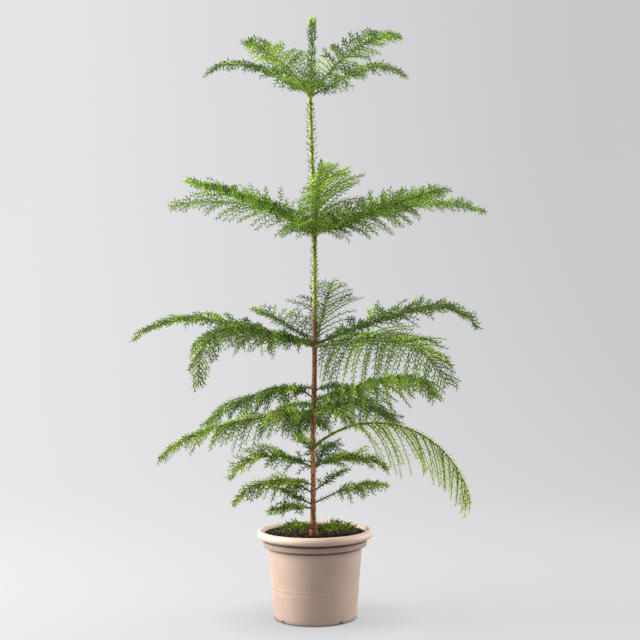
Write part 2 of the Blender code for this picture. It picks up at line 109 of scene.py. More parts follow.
# Trunk: height above its foot, radius, x, y
TRUNK_FOOT = SOIL_TOP + 0.0003
TRUNK_STATIONS = np.array(
    (
        (0.000, 0.0105, -0.002, 0.000),
        (0.008, 0.0082, -0.002, 0.000),
        (0.024, 0.0062, -0.003, 0.000),
        (0.055, 0.0054, -0.003, 0.001),
        (0.110, 0.0052, -0.002, 0.001),
        (0.180, 0.0053, -0.003, 0.000),
        (0.280, 0.0052, 0.001, -0.001),
        (0.400, 0.0053, 0.004, 0.000),
        (0.520, 0.0049, 0.005, 0.001),
        (0.630, 0.0050, 0.005, 0.000),
        (0.780, 0.0044, 0.002, -0.001),
        (0.915, 0.0044, -0.001, 0.000),
        (0.945, 0.0030, 0.000, 0.000),
        (1.030, 0.0022, 0.004, 0.000),
    )
)
TRUNK_SEGMENTS = 24
TRUNK_RING_STEP = 0.0016
LEADER_TUFT = 0.050
LEADER_LEAN = (0.09, 0.0, 1.0)
LEADER_RADIUS = (0.0024, 0.0014)

# Boughs and fronds
BOUGH_SEGMENTS = 10
BOUGH_RING_STEP = 0.0025
BOUGH_SUNK = 0.003
LOW_LIMB_RADIUS = 0.0033
HIGH_LIMB_RADIUS = 0.0023
LOW_LIMB_HEIGHT = 0.3
HIGH_LIMB_HEIGHT = 1.1
LIMB_TAPER = 0.8
STEM_TIP_RADIUS = 0.0008
AXIS_STEPS = 48
FROND_SEED = 41

# Side shoots
TWIG_RADIUS = 0.0011
SHOOT_STEP = 0.0098
SHOOT_FIRST = 0.010
SHOOT_FIRST_LOW = 0.016
SHOOT_LAST = 0.004
SHOOT_LEAST = 0.012
SHOOT_SWELL = (0.55, 2.2)
SHOOT_TAPER = (0.82, 1.5)
SPREAD_ROOT = 74
SPREAD_TIP = 44
SPREAD_VARIETY = 9
LIFT_VARIETY = 12
SHOOT_BEND = 0.5
SHOOT_TURN = 0.15
SHOOT_ARCH = (0.10, 0.30)
SHOOT_DROOP = 3.2
CLEARANCE = 0.0040
TRUNK_SPACE = 0.006
POT_CLEARANCE = 0.008
FLOOR_CLEARANCE = 0.008
RIM_CLEARANCE = 0.006
MIX_CLEARANCE = 0.005
# How a frond's side shoots grow: distance between those of one side, scatter of their lift, distance
# of the first past the usual place, how much longer on each side and at the tip, how much nearer the
# stem in angle, extra roll and how much lighter, partly the frond's own tint and partly painted light and
# painted shade
Habit = namedtuple("Habit", "step scatter late longer tip closer roll tone")
USUAL_HABIT = Habit(SHOOT_STEP, LIFT_VARIETY, 0.0, (1.0, 1.0), 1.0, 0.0, 0.0, 0.0)
HABITS = {
    "tier_1_left": dict(step=0.0085, scatter=28, longer=(0.9, 0.85), tone=-0.05),
    "tier_1_front_left": dict(step=0.0070, longer=(1.3, 1.1), tone=0.12),
    "tier_1_front_right": dict(step=0.0080, longer=(1.1, 1.2), tone=0.04),
    "tier_1_right": dict(step=0.0080, scatter=30, tone=-0.05),
    "tier_2_left": dict(step=0.0135, scatter=12),
    "tier_2_front_left": dict(step=0.0080, scatter=18),
    "tier_2_front": dict(step=0.0066, scatter=14, longer=(1.18, 0.56), tip=0.32, closer=-16),
    "tier_2_front_right": dict(step=0.0055, scatter=20, longer=(1.0, 0.56)),
    "tier_2_right": dict(step=0.0085, scatter=24, longer=(1.0, 0.75)),
    "tier_3_left": dict(step=0.0080, scatter=20, longer=(0.85, 0.85)),
    "tier_3_front_left": dict(step=0.0090, scatter=14, tone=-0.08),
    "tier_3_back_left": dict(step=0.0180, scatter=10, tone=-0.10),
    "tier_3_back": dict(step=0.0190, scatter=10, tone=-0.05),
    "tier_3_right": dict(step=0.0080, scatter=26, tone=-0.04),
    "tier_3_front_right": dict(step=0.0110, scatter=12, longer=(1.15, 1.35), closer=-2, roll=-6, tone=-0.10),
    "tier_4_back_left": dict(step=0.0085, scatter=26, tone=-0.06),
    "tier_4_left": dict(step=0.0085, scatter=22, tone=-0.03),
    "tier_4_front_right": dict(step=0.0075, scatter=24, longer=(1.1, 1.1), tone=-0.05),
    "tier_4_back_right": dict(step=0.0075, scatter=30, longer=(1.1, 1.1), tone=-0.10),
    "tier_4_right": dict(
        step=0.0170, scatter=22, late=0.072, longer=(1.15, 1.2), tip=1.4, closer=8, tone=0.55
    ),
    "tier_4_back": dict(step=0.0080, scatter=32, tone=-0.10),
    "tier_4_front": dict(step=0.0200, scatter=14, late=0.03, longer=(0.6, 0.6), tone=-0.15),
    "tier_5_left": dict(step=0.0070, scatter=26, longer=(1.25, 1.25), tone=0.06),
    "tier_5_right": dict(step=0.0070, scatter=28, longer=(1.35, 1.35), tone=0.10),
    "tier_5_back": dict(step=0.0170, scatter=34, longer=(1.2, 1.2), tone=-0.30),
    "tier_6_left": dict(step=0.0070, scatter=36, longer=(1.2, 1.2)),
    "tier_6_right": dict(step=0.0070, scatter=34, late=0.04, longer=(1.15, 1.15)),
    "tier_7_left": dict(step=0.0055, scatter=34, longer=(1.15, 1.15), tone=0.10),
    "low_sprig_left": dict(step=0.0040, scatter=24, tone=-0.20),
    "low_sprig_right": dict(step=0.0036, scatter=18, tone=-0.12),
}

# Needles
NEEDLE_LENGTH = 0.0092
NEEDLE_WIDTH = 0.0013
NEEDLE_STEP = 0.0023
NEEDLE_SPREAD = 66
STEM_NEEDLE_STEP = 0.0016
STEM_NEEDLES_FROM = 0.005
NEEDLE_BELLY = 0.38  # share of its length where a needle is widest
NEEDLE_HOOK = 0.18  # how far a needle's point bends towards the shoot's tip
NEEDLE_CLIP = (0.55, 1.5)  # how far a needle's width follows its length

# Brightness of the needles, 0 to 1: of a low side frond, lost with height and at the back, gained
# towards the tips, and how much a stem's and a shoot's needles vary. The loss with height and at the
# back is painted: low fronds carry painted light and back fronds painted shade.
LIGHT_USUAL = 0.59
PAINTED_LIGHT_LOST_HIGH = 0.27
PAINTED_SHADE_AT_BACK = 0.14
LIGHT_TO_STEM_TIP = 0.12
LIGHT_TO_SHOOT_TIP = 0.20
LIGHT_OF_STEM = 0.15
LIGHT_OF_SHOOT = 0.38
STEM_PARTS = 6

Frond = namedtuple(
    "Frond",
    "name height heading turn length rise fall curl bare reach roll lift split",
)
FRONDS = (
    Frond("tier_1_left", 1.093, 172, 15, 0.243, 30, -56, 3.0, 0.034, 0.052, 20, -6, 0),
    Frond("tier_1_front_left", 1.088, 238, -10, 0.215, 33, 5, 1.0, 0.030, 0.066, 0, 4, 0),
    Frond("tier_1_front_right", 1.093, 312, 0, 0.275, 31, -22, 2.0, 0.045, 0.056, 14, -4, 0),
    Frond("tier_1_right", 1.088, 14, 20, 0.250, 31, -38, 3.0, 0.040, 0.050, -16, -6, 0),
    Frond("tier_1_back", 1.094, 95, 0, 0.180, 28, 8, 1.5, 0.000, 0.050, 0, 4, 0),
    Frond("tier_2_left", 0.802, 168, 10, 0.319, 29, -17, 1.5, 0.030, 0.092, 42, 0, 0),
    Frond("tier_2_front_left", 0.796, 222, 4, 0.335, 24, 2, 1.0, 0.028, 0.086, 24, 6, 0),
    Frond("tier_2_front", 0.802, 271, 4, 0.290, 22, 18, 1.0, 0.026, 0.115, -30, 4, 0),
    Frond("tier_2_front_right", 0.796, 322, 7, 0.310, 17, 9, 1.0, 0.032, 0.096, 26, 6, 0),
    Frond("tier_2_right", 0.802, 5, 8, 0.374, 18, -21, 2.5, 0.050, 0.088, -26, -4, 0),
    Frond("tier_2_back", 0.796, 93, -6, 0.310, 20, -14, 1.5, 0.034, 0.092, 8, 0, 0),
    Frond("tier_3_left", 0.563, 175, 0, 0.397, 17, -42, 3.0, 0.040, 0.084, 2, 0, 0),
    Frond("tier_3_front_left", 0.570, 209, 58, 0.430, 11, -86, 3.0, 0.045, 0.090, 0, -26, 0.58),
    Frond("tier_3_back_left", 0.570, 126, 4, 0.225, 24, 14, 1.0, 0.036, 0.075, 12, 26, 0),
    Frond("tier_3_back", 0.563, 80, 0, 0.270, 37, 28, 1.0, 0.038, 0.108, 0, 12, 0),
    Frond("tier_3_right", 0.568, 17, -4, 0.386, 19, -64, 4.5, 0.042, 0.088, -4, 2, 0),
    Frond("tier_3_front_right", 0.561, 310, -12, 0.434, 5, -51, 2.7, 0.040, 0.112, -22, -20, 0),
    Frond("tier_4_back_left", 0.476, 150, 2, 0.290, -2, -40, 1.5, 0.034, 0.092, 0, -26, 0),
    Frond("tier_4_left", 0.426, 192, -15, 0.335, -6, -47, 3.0, 0.038, 0.094, 10, -24, 0),
    Frond("tier_4_front_right", 0.452, 332, -20, 0.311, 16, -66, 4.5, 0.036, 0.098, -4, -32, 0),
    Frond("tier_4_back_right", 0.428, 42, 0, 0.255, 17, -36, 1.0, 0.034, 0.096, 0, -14, 0),
    Frond("tier_4_right", 0.354, 352, -15, 0.412, 41, -79, 1.0, 0.045, 0.112, 0, -56, 0.45),
    Frond("tier_4_back", 0.398, 98, 0, 0.285, 12, -44, 1.5, 0.034, 0.086, 0, -16, 0),
    Frond("tier_4_front", 0.345, 252, 20, 0.160, 26, -8, 1.5, 0.000, 0.044, 8, 0, 0),
    Frond("tier_5_left", 0.312, 188, 16, 0.188, 24, -60, 1.7, 0.000, 0.054, 10, 8, 0),
    Frond("tier_5_right", 0.312, 352, 10, 0.157, 20, -47, 1.8, 0.000, 0.050, 0, 4, 0),
    Frond("tier_5_back", 0.300, 76, 0, 0.200, 32, -10, 1.0, 0.000, 0.062, 0, 4, 0),
    Frond("tier_6_left", 0.258, 195, -12, 0.186, 40, -54, 1.0, 0.000, 0.050, 10, -26, 0),
    Frond("tier_6_right", 0.237, 345, -24, 0.170, 26, -14, 2.5, 0.000, 0.054, 0, -24, 0),
    Frond("tier_7_left", 0.225, 202, 0, 0.100, 16, -18, 1.0, 0.000, 0.032, 0, -10, 0),
    Frond("low_sprig_left", 0.184, 212, 0, 0.076, 18, -16, 1.0, 0.000, 0.032, 0, 12, 0),
    Frond("low_sprig_right", 0.183, 335, 10, 0.090, 10, -6, 1.0, 0.000, 0.034, 0, 14, 0),
)
# Small twigs of the trunk between the fronds
SPRIGS = (
    Frond("sprig_4_left", 0.456, 163, 0, 0.135, 36, -56, 1.2, 0, 0.048, 0, -12, 0),
    Frond("sprig_4_front_left", 0.440, 228, 0, 0.150, 12, -44, 1.2, 0, 0.056, 0, -24, 0),
    Frond("sprig_4_right", 0.470, 18, 0, 0.125, 24, -58, 1.2, 0, 0.050, 0, -18, 0),
    Frond("sprig_4_front", 0.436, 305, 0, 0.140, 8, -40, 1.2, 0, 0.052, 0, -24, 0),
    Frond("sprig_6_front_left", 0.274, 212, 0, 0.118, 20, -14, 1.0, 0, 0.036, 0, 0, 0),
    Frond("sprig_6_left", 0.234, 192, 0, 0.100, 28, 22, 1.0, 0, 0.032, 0, 4, 0),
    Frond("sprig_6_right", 0.262, 24, 0, 0.090, 36, 18, 1.0, 0, 0.034, 0, 4, 0),
)
UPPER_TIERS = ("tier_1", "tier_2")
# Needles on the trunk: from and to height, their step, length, spread and tone
TRUNK_NEEDLES = (
    (0.60, 0.79, 0.0020, 0.0105, 60, 0.1),
    (0.81, 0.945, 0.0020, 0.0120, 64, 0.1),
    (0.945, 1.075, 0.0020, 0.0120, 64, 0.2),
    (1.10, 1.20, 0.0010, 0.0145, 58, 0.4),
)

# Needles of the tuft at its tip: share of it that they start at, step, length, spread and tone
LEADER_NEEDLES = ((0.0, 0.0008, 0.0145, 56, 0.4), (0.70, 0.0006, 0.0140, 46, 0.8))

# Base colours, as sRGB of 0 to 255
TONES = {
    "young": (206, 228, 102),
    "lime": (166, 200, 58),
    "fresh": (110, 148, 44),
    "leaf": (74, 107, 38),
    "deep": (46, 70, 30),
}
TONE_ORDER = ("deep", "leaf", "fresh", "lime", "young")  # each covers a quarter of brightness
POT_LIGHT = (185, 160, 143)
POT_DARK = (177, 152, 135)
# Colour of the painted shade in the pot's grooves and on the collar
PAINTED_GROOVE_SHADE = (66, 52, 44)
# Painted highlight: a lighter colour over the top of the rim
RIM_PAINTED_HIGHLIGHT = (222, 196, 178)
# Height and darkness of the painted shade below the collar, on the collar in the rim's shadow and in the
# groove below the rim
POT_PAINTED_SHADE = (
    (0.0, 0), (0.1380, 0), (0.1446, 0.50), (0.1452, 0.90), (0.1500, 0.90), (0.1506, 0.58),
    (0.1598, 0.58), (0.1604, 1.0), (0.1650, 1.0), (0.1656, 0.2), (0.1700, 0),
)


# ---------------- materials


def linear(colour):
    """Linear colour with alpha from sRGB numbers of 0 to 255."""
    shares = [c / 255 for c in colour]
    return (*[((s + 0.055) / 1.055) ** 2.4 if s > 0.04 else s / 12.92 for s in shares], 1)


class Finish:
    """A node material with a few short ways to add patterns in object space."""

    def __init__(self, name, roughness, specular=0.5):
        self.made = bpy.data.materials.new(name)
        self.made.use_nodes = True
        self.nodes = self.made.node_tree.nodes
        self.links = self.made.node_tree.links
        self.shader = self.nodes["Principled BSDF"]
        self.shader.inputs["Roughness"].default_value = roughness
        self.shader.inputs["Specular IOR Level"].default_value = specular
        self.place = self.nodes.new("ShaderNodeTexCoord").outputs["Object"]

    def noise(self, scale, detail=3.0, stretch=None):
        texture = self.nodes.new("ShaderNodeTexNoise")
        texture.inputs["Scale"].default_value = scale
        texture.inputs["Detail"].default_value = detail
        self.links.new(self.stretched(stretch), texture.inputs["Vector"])
        return texture.outputs["Fac"]

    def cells(self, scale, stretch=None):
        texture = self.nodes.new("ShaderNodeTexVoronoi")
        texture.inputs["Scale"].default_value = scale
        self.links.new(self.stretched(stretch), texture.inputs["Vector"])
        return texture.outputs["Distance"]

    def stretched(self, stretch):
        if stretch is None:
            return self.place
        mapping = self.nodes.new("ShaderNodeMapping")
        mapping.inputs["Scale"].default_value = stretch
        self.links.new(self.place, mapping.inputs["Vector"])
        return mapping.outputs["Vector"]

    def parts(self):
        """The X, Y and Z of the place."""
        node = self.nodes.new("ShaderNodeSeparateXYZ")
        self.links.new(self.place, node.inputs[0])
        return node.outputs

    def axis(self, name, low, high):
        """0 where the X, Y or Z place is low and 1 where it is high."""
        return self.span(self.parts()[name], low, high, 0, 1)

    def away(self):
        """Distance from the object's origin."""
        length = self.nodes.new("ShaderNodeVectorMath")
        length.operation = "LENGTH"
        self.links.new(self.place, length.inputs[0])
        return length.outputs["Value"]

    def span(self, value, low, high, to_low, to_high):
        mapped = self.nodes.new("ShaderNodeMapRange")
        self.links.new(value, mapped.inputs["Value"])
        for name, number in zip(("From Min", "From Max", "To Min", "To Max"), (low, high, to_low, to_high)):
            mapped.inputs[name].default_value = number
        return mapped.outputs["Result"]

    def maths(self, operation, a, b):
        node = self.nodes.new("ShaderNodeMath")
        node.operation = operation
        for socket, value in zip(node.inputs, (a, b)):
            if isinstance(value, (int, float)):
                socket.default_value = value
            else:
                self.links.new(value, socket)
        return node.outputs[0]

    def ramp(self, value, stops):
        """Colours in turn along a value, as (place, sRGB colour)."""
        node = self.nodes.new("ShaderNodeValToRGB")
        elements = node.color_ramp.elements
        for element, (place, colour) in zip(elements, (stops[0], stops[-1])):
            element.position = place
            element.color = linear(colour)
        for place, colour in stops[1:-1]:
            elements.new(place).color = linear(colour)
        self.links.new(value, node.inputs["Fac"])
        return node.outputs["Color"]

    def mix(self, share, first, second):
        node = self.nodes.new("ShaderNodeMix")
        node.data_type = "RGBA"
        sockets = [s for s in node.inputs if s.type == "RGBA"]
        self.links.new(share, node.inputs["Factor"])
        for socket, colour in zip(sockets, (first, second)):
            if isinstance(colour, tuple):
                socket.default_value = linear(colour)
            else:
                self.links.new(colour, socket)
        return next(s for s in node.outputs if s.type == "RGBA")

    def colour(self, value):
        self.links.new(value, self.shader.inputs["Base Color"])

    def roughness(self, value, low, high):
        self.links.new(self.span(value, 0.3, 0.7, low, high), self.shader.inputs["Roughness"])

    def bump(self, value, strength, distance):
        node = self.nodes.new("ShaderNodeBump")
        node.inputs["Strength"].default_value = strength
        node.inputs["Distance"].default_value = distance
        self.links.new(value, node.inputs["Height"])
        self.links.new(node.outputs["Normal"], self.shader.inputs["Normal"])


def pot_finish():
    """Fine-grained matt plastic, slightly uneven in tone."""
    finish = Finish("pot_plastic", 0.5, 0.4)
    cloud = finish.noise(14, 4)
    plastic = finish.ramp(cloud, [(0.35, POT_DARK), (0.65, POT_LIGHT)])
    # Painted highlight: everything above this height, the top of the rim, is lighter
    plastic = finish.mix(finish.axis("Z", 0.169, 0.176), plastic, RIM_PAINTED_HIGHLIGHT)
    # Painted shade: dark bands below the collar, on the collar and in the groove below the rim
    stops = [(height / RIM_TOP, (255 * painted_shade,) * 3) for height, painted_shade in POT_PAINTED_SHADE]
    painted_shade = finish.ramp(finish.axis("Z", 0, RIM_TOP), stops)
    finish.colour(finish.mix(finish.maths("MULTIPLY", painted_shade, 0.92), plastic, PAINTED_GROOVE_SHADE))
    finish.roughness(finish.noise(60), 0.46, 0.58)
    finish.bump(finish.noise(900, 2), 0.12, 0.0002)
    return finish.made


def soil_finish(name, dark, light):
    """Damp fibrous peat."""
    finish = Finish(name, 0.95, 0.2)
    finish.colour(finish.ramp(finish.noise(260, 5), [(0.36, dark), (0.64, light)]))
    finish.bump(finish.noise(700, 4), 0.8, 0.0008)
    return finish.made


def trunk_finish():
    """Bark: orange-brown low down, brown to the third tier, and green above, brown at the tiers."""
    finish = Finish("trunk_bark", 0.72, 0.3)
    tan, brown, green = (206, 138, 92), (142, 96, 62), (168, 188, 76)
    zones = [
        (0.00, tan), (0.27, tan), (0.34, brown), (0.485, brown), (0.53, green), (0.615, green),
        (0.632, brown), (0.652, brown), (0.672, green), (0.95, green),
    ]
    base = finish.ramp(finish.axis("Z", 0.0, 1.25), zones)
    specks = finish.span(finish.noise(300, 3, (1, 1, 0.6)), 0.49, 0.60, 0, 0.85)
    spotted = finish.mix(specks, base, (58, 40, 28))
    low = finish.maths("SUBTRACT", 1.0, finish.axis("Z", 0.30, 0.46))
    patches = finish.span(finish.noise(75, 4), 0.55, 0.66, 0, 0.6)
    finish.colour(finish.mix(finish.maths("MULTIPLY", low, patches), spotted, (112, 122, 58)))
    finish.bump(finish.noise(520, 5, (1, 1, 0.3)), 0.7, 0.0006)
    return finish.made


def bough_finish(name, dark, light, speck):
    """Young bark of a side limb, flecked where needles have dropped."""
    finish = Finish(name, 0.62, 0.35)
    base = finish.ramp(finish.noise(45, 3), [(0.38, dark), (0.62, light)])
    flecks = finish.span(finish.cells(520), 0.05, 0.28, 0.7, 0.0)
    finish.colour(finish.mix(flecks, base, speck))
    finish.bump(finish.noise(600, 4), 0.5, 0.0004)
    return finish.made


def leafy_finish(name, tone, roughness=0.55):
    """Needle green, a little lighter and darker from place to place."""
    finish = Finish(name, roughness, 0.2)
    low = tuple(c * 0.93 for c in tone)
    high = tuple(min(255, c * 1.06) for c in tone)
    finish.colour(finish.ramp(finish.noise(38, 2), [(0.35, low), (0.65, high)]))
    finish.roughness(finish.noise(55, 2), roughness - 0.05, roughness + 0.08)
    return finish.made


# ---------------- meshes


def object_of(name, points, faces, finish, smooth=True):
    """A mesh object from arrays. Every face has the same number of corners."""
    points = np.asarray(points, np.float32)
    faces = np.asarray(faces, np.int32)
    corners = faces.shape[1]
    mesh = bpy.data.meshes.new(name)
    mesh.vertices.add(len(points))
    mesh.vertices.foreach_set("co", points.ravel())
    mesh.loops.add(faces.size)
    mesh.loops.foreach_set("vertex_index", faces.ravel())
    mesh.polygons.add(len(faces))
    mesh.polygons.foreach_set("loop_start", np.arange(0, faces.size, corners, dtype=np.int32))
    mesh.update(calc_edges=True)
    mesh.validate()
    mesh.polygons.foreach_set("use_smooth", np.full(len(mesh.polygons), smooth))
    mesh.materials.append(finish)
    made = bpy.data.objects.new(name, mesh)
    bpy.context.scene.collection.objects.link(made)
    return made


def lattice(rings):
    """Faces of a tube through an array of rings, shaped (ring, corner, 3), as four-cornered faces."""
    count, sides = rings.shape[:2]
    ring, corner = np.meshgrid(np.arange(count - 1), np.arange(sides), indexing="ij")
    following = (corner + 1) % sides
    low, high = ring * sides, (ring + 1) * sides
    quads = np.stack([low + corner, low + following, high + following, high + corner], -1)
    return rings.reshape(-1, 3), quads.reshape(-1, 4)


class Gathered:
    """Points and faces of many small shapes that become one piece."""

    def __init__(self):
        self.points, self.faces, self.count = [], [], 0

    def add(self, points, faces):
        points = np.asarray(points).reshape(-1, 3)
        self.points.append(points)
        self.faces.append(np.asarray(faces) + self.count)
        self.count += len(points)

    def made(self, name, finish, smooth=True):
        return object_of(name, np.concatenate(self.points), np.concatenate(self.faces), finish, smooth)


def unit(vectors):
    return vectors / np.maximum(np.linalg.norm(vectors, axis=-1, keepdims=True), 1e-9)


def frames_along(path, distances):
    """Places, directions and two square vectors at distances along a path of points."""
    spans = np.linalg.norm(np.diff(path, axis=0), axis=1)
    reached = np.concatenate([[0], np.cumsum(spans)])
    slopes = np.gradient(path, np.maximum(reached, np.arange(len(path)) * 1e-9), axis=0)
    at = np.stack([np.interp(distances, reached, path[:, i]) for i in range(3)], -1)
    direction = unit(np.stack([np.interp(distances, reached, slopes[:, i]) for i in range(3)], -1))
    side = np.cross(direction, UP)
    weak = np.linalg.norm(side, axis=1) < 0.02
    side[weak] = (1.0, 0.0, 0.0)
    side = unit(side - direction * np.sum(side * direction, axis=1, keepdims=True))
    return at, direction, side, np.cross(side, direction)


def path_length(path):
    return float(np.linalg.norm(np.diff(path, axis=0), axis=1).sum())


def tube_rings(path, distances, radii, sides, relief=None):
    """Rings round a path. relief adds to the radius by ring and corner."""
    at, _, side, over = frames_along(path, distances)
    angles = 2 * np.pi * np.arange(sides) / sides
    radius = np.repeat(np.asarray(radii)[:, None], sides, axis=1)
    if relief is not None:
        radius = radius + relief
    round_side = np.cos(angles)[None, :, None] * side[:, None]
    round_over = -np.sin(angles)[None, :, None] * over[:, None]
    return at[:, None] + radius[..., None] * (round_side + round_over)


def closed_end(rings):
    """The rings with a last one drawn in to nearly a point, which closes the tube."""
    centre = rings[-1].mean(axis=0, keepdims=True)
    return np.concatenate([rings, (centre + (rings[-1] - centre) * 0.02)[None]])


# ---------------- pot


def rounded(corners, radius, steps=4):
    """The outline with each corner cut by a short arc of at most this radius."""
    corners = [Vector(c) for c in corners]
    smooth = [corners[0]]
    for before, corner, after in zip(corners, corners[1:], corners[2:]):
        cut_in, cut_out = before - corner, after - corner
        reach = min(radius, cut_in.length * 0.45, cut_out.length * 0.45)
        start, end = corner + cut_in.normalized() * reach, corner + cut_out.normalized() * reach
        for i in range(steps + 1):
            t = i / steps
            smooth.append(start * (1 - t) ** 2 + corner * 2 * t * (1 - t) + end * t**2)
    return smooth + [corners[-1]]


def body_radius(height):
    share = (height - BODY_FOOT) / (COLLAR_FOOT - BODY_FOOT)
    return BODY_FOOT_RADIUS + share * (BODY_TOP_RADIUS - BODY_FOOT_RADIUS)


def foot_outline():
    """Underside from its middle, with a low ridge, a recess and the foot ring, and up to the wall."""
    ring = FOOT_RADIUS - 0.003
    return [
        (0, RECESS), (0.0205, RECESS), (0.024, 0.0012), (0.0275, RECESS), (0.068, RECESS), (0.070, 0),
        (ring, 0), (ring, 0.0020), (FOOT_RADIUS + 0.0012, 0.0026), (BODY_FOOT_RADIUS - 0.0010, 0.009),
        (BODY_FOOT_RADIUS, BODY_FOOT),
    ]


def rib_outline(height):
    radius = body_radius(height)
    proud = radius + RIB_PROUD
    return [
        (radius, height - 0.0012), (proud, height - 0.0005), (proud, height + 0.0005),
        (radius, height + 0.0012),
    ]


def collar_outline():
    """Groove below the collar, the collar and the groove below the rim."""
    deep, rim_foot = BODY_TOP_RADIUS - 0.0017, RIM_TOP - RIM_DEPTH
    return [
        (BODY_TOP_RADIUS, COLLAR_FOOT - 0.0052), (deep, COLLAR_FOOT - 0.0042),
        (deep, COLLAR_FOOT + 0.0016), (COLLAR_RADIUS, COLLAR_FOOT - 0.0002),
        (COLLAR_RADIUS + 0.0008, rim_foot - 0.0062), (COLLAR_RADIUS - 0.0020, rim_foot - 0.0050),
        (COLLAR_RADIUS - 0.0020, rim_foot + 0.0022),
    ]


def rim_outline():
    rim_foot = RIM_TOP - RIM_DEPTH
    return [
        (RIM_RADIUS - 0.0035, rim_foot + 0.0003), (RIM_RADIUS - 0.0003, rim_foot + 0.0030),
        (RIM_RADIUS, RIM_TOP - 0.0085), (RIM_RADIUS - 0.0018, RIM_TOP - 0.0038),
        (RIM_RADIUS - 0.0050, RIM_TOP - 0.0008), (RIM_RADIUS - 0.0075, RIM_TOP),
    ]


def inside_outline():
    foot = BODY_FOOT_RADIUS - WALL
    return [
        (COLLAR_RADIUS + 0.001, RIM_TOP - 0.0008), (COLLAR_RADIUS - 0.002, RIM_TOP - 0.004),
        (COLLAR_RADIUS - WALL, COLLAR_FOOT + 0.002), (BODY_TOP_RADIUS - WALL, COLLAR_FOOT - 0.003),
        (foot, RECESS + WALL + 0.004), (foot - 0.004, RECESS + WALL), (0, RECESS + WALL),
    ]


def pot_outline():
    """Half section from the middle of the underside, out, up, over the rim and back inside."""
    ribs = [point for height in RIB_HEIGHTS for point in rib_outline(height)]
    return foot_outline() + ribs + collar_outline() + rim_outline() + inside_outline()


def turned(outline, segments):
    """Rings of an outline turned about Z, shaped for lattice. Ends on the axis are tiny rings."""
    radii = np.maximum([p[0] for p in outline], 1e-5)
    heights = np.array([p[1] for p in outline])
    angles = 2 * np.pi * np.arange(segments) / segments
    flat = radii[:, None, None] * np.stack([np.cos(angles), np.sin(angles)], -1)[None]
    upright = np.repeat(heights[:, None, None], segments, axis=1)
    return np.concatenate([flat, upright], -1)


def pot_cutters():
    """Hidden drums and blocks that are cut out of the pot as drainage holes and notches."""
    made = []
    for i in range(DRAIN_COUNT):
        angle = 2 * math.pi * (i + 0.5) / DRAIN_COUNT
        at = (DRAIN_CIRCLE * math.cos(angle), DRAIN_CIRCLE * math.sin(angle), DRAIN_MIDDLE)
        bpy.ops.mesh.primitive_cylinder_add(
            vertices=DRAIN_SIDES, radius=DRAIN_RADIUS, depth=DRAIN_DEPTH, location=at
        )
        made.append(bpy.context.object)
    for i in range(NOTCH_COUNT):
        angle = math.radians(NOTCH_FIRST + 360 * i / NOTCH_COUNT)
        at = (FOOT_RADIUS * math.cos(angle), FOOT_RADIUS * math.sin(angle), 0)
        bpy.ops.mesh.primitive_cube_add(size=1, location=at, rotation=(0, 0, angle))
        bpy.context.object.scale = (NOTCH_LENGTH, NOTCH_WIDTH, 2 * NOTCH_DEPTH)
        made.append(bpy.context.object)
    return made


def make_pot():
    plastic = pot_finish()
    points, quads = lattice(turned(rounded(pot_outline(), 0.0012, 3), POT_SEGMENTS))
    pot = object_of("planter", points, quads, plastic)
    for tool in pot_cutters():
        cut = pot.modifiers.new("cut", "BOOLEAN")
        cut.operation = "DIFFERENCE"
        cut.object = tool
        cut.solver = "EXACT"
        bpy.context.view_layer.objects.active = pot
        bpy.ops.object.modifier_apply(modifier=cut.name)
        bpy.data.objects.remove(tool, do_unlink=True)
    pot.data.materials.clear()
    pot.data.materials.append(plastic)
    pot.data.shade_smooth()
    pot.data.set_sharp_from_angle(angle=math.radians(38))
    settle(pot, ["pot"])


def settle(piece, nodes):
    """Rides on the frame and stands for these CAD nodes."""
    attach(piece, "root")
    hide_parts(*nodes)


# ---------------- soil


def soil_height(x, y):
    """Lumps of the potting mix, level with the pot's side at its edge."""
    point = Vector((x, y, 0.0))
    lumps = noise.noise(point * 45) * 0.0022 + noise.noise(point * 120) * 0.0014
    crumbs = noise.noise(point * 330) * 0.0009
    out = math.hypot(x, y) / SOIL_RADIUS
    settled = 1 - max(0, out - 0.9) * 4
    return SOIL_TOP + 0.0006 + (lumps + crumbs) * settled + 0.0050 * out**5


def make_soil():
    angles = 2 * np.pi * np.arange(SOIL_SEGMENTS) / SOIL_SEGMENTS
    rings = []
    for i in range(SOIL_RINGS + 1):
        radius = max(1e-4, SOIL_RADIUS * (i / SOIL_RINGS) ** 0.8)
        flat = [(radius * math.cos(a), radius * math.sin(a)) for a in angles]
        rings.append([(x, y, soil_height(x, y)) for x, y in flat])
    under = SOIL_TOP - 0.012
    rings.append([(SOIL_RADIUS * math.cos(a), SOIL_RADIUS * math.sin(a), under) for a in angles])
    rings.append([(1e-4 * math.cos(a), 1e-4 * math.sin(a), under) for a in angles])
    points, quads = lattice(np.array(rings))
    soil = object_of("potting_mix", points, quads[:, ::-1], soil_finish("peat", (34, 26, 21), (74, 57, 44)))
    settle(soil, ["soil"])
    make_crumbs()


def crumb_shape():
    bpy.ops.mesh.primitive_ico_sphere_add(subdivisions=2, radius=1)
    ball = bpy.context.object
    points = np.array([v.co for v in ball.data.vertices])
    faces = np.array([p.vertices for p in ball.data.polygons])
    bpy.data.objects.remove(ball, do_unlink=True)
    return points, faces


def on_mix(rng, reach):
    """A chance place on the potting mix, within this share of its radius."""
    out, turn = SOIL_RADIUS * reach * math.sqrt(rng.random()), rng.uniform(0, 2 * math.pi)
    return out * math.cos(turn), out * math.sin(turn)


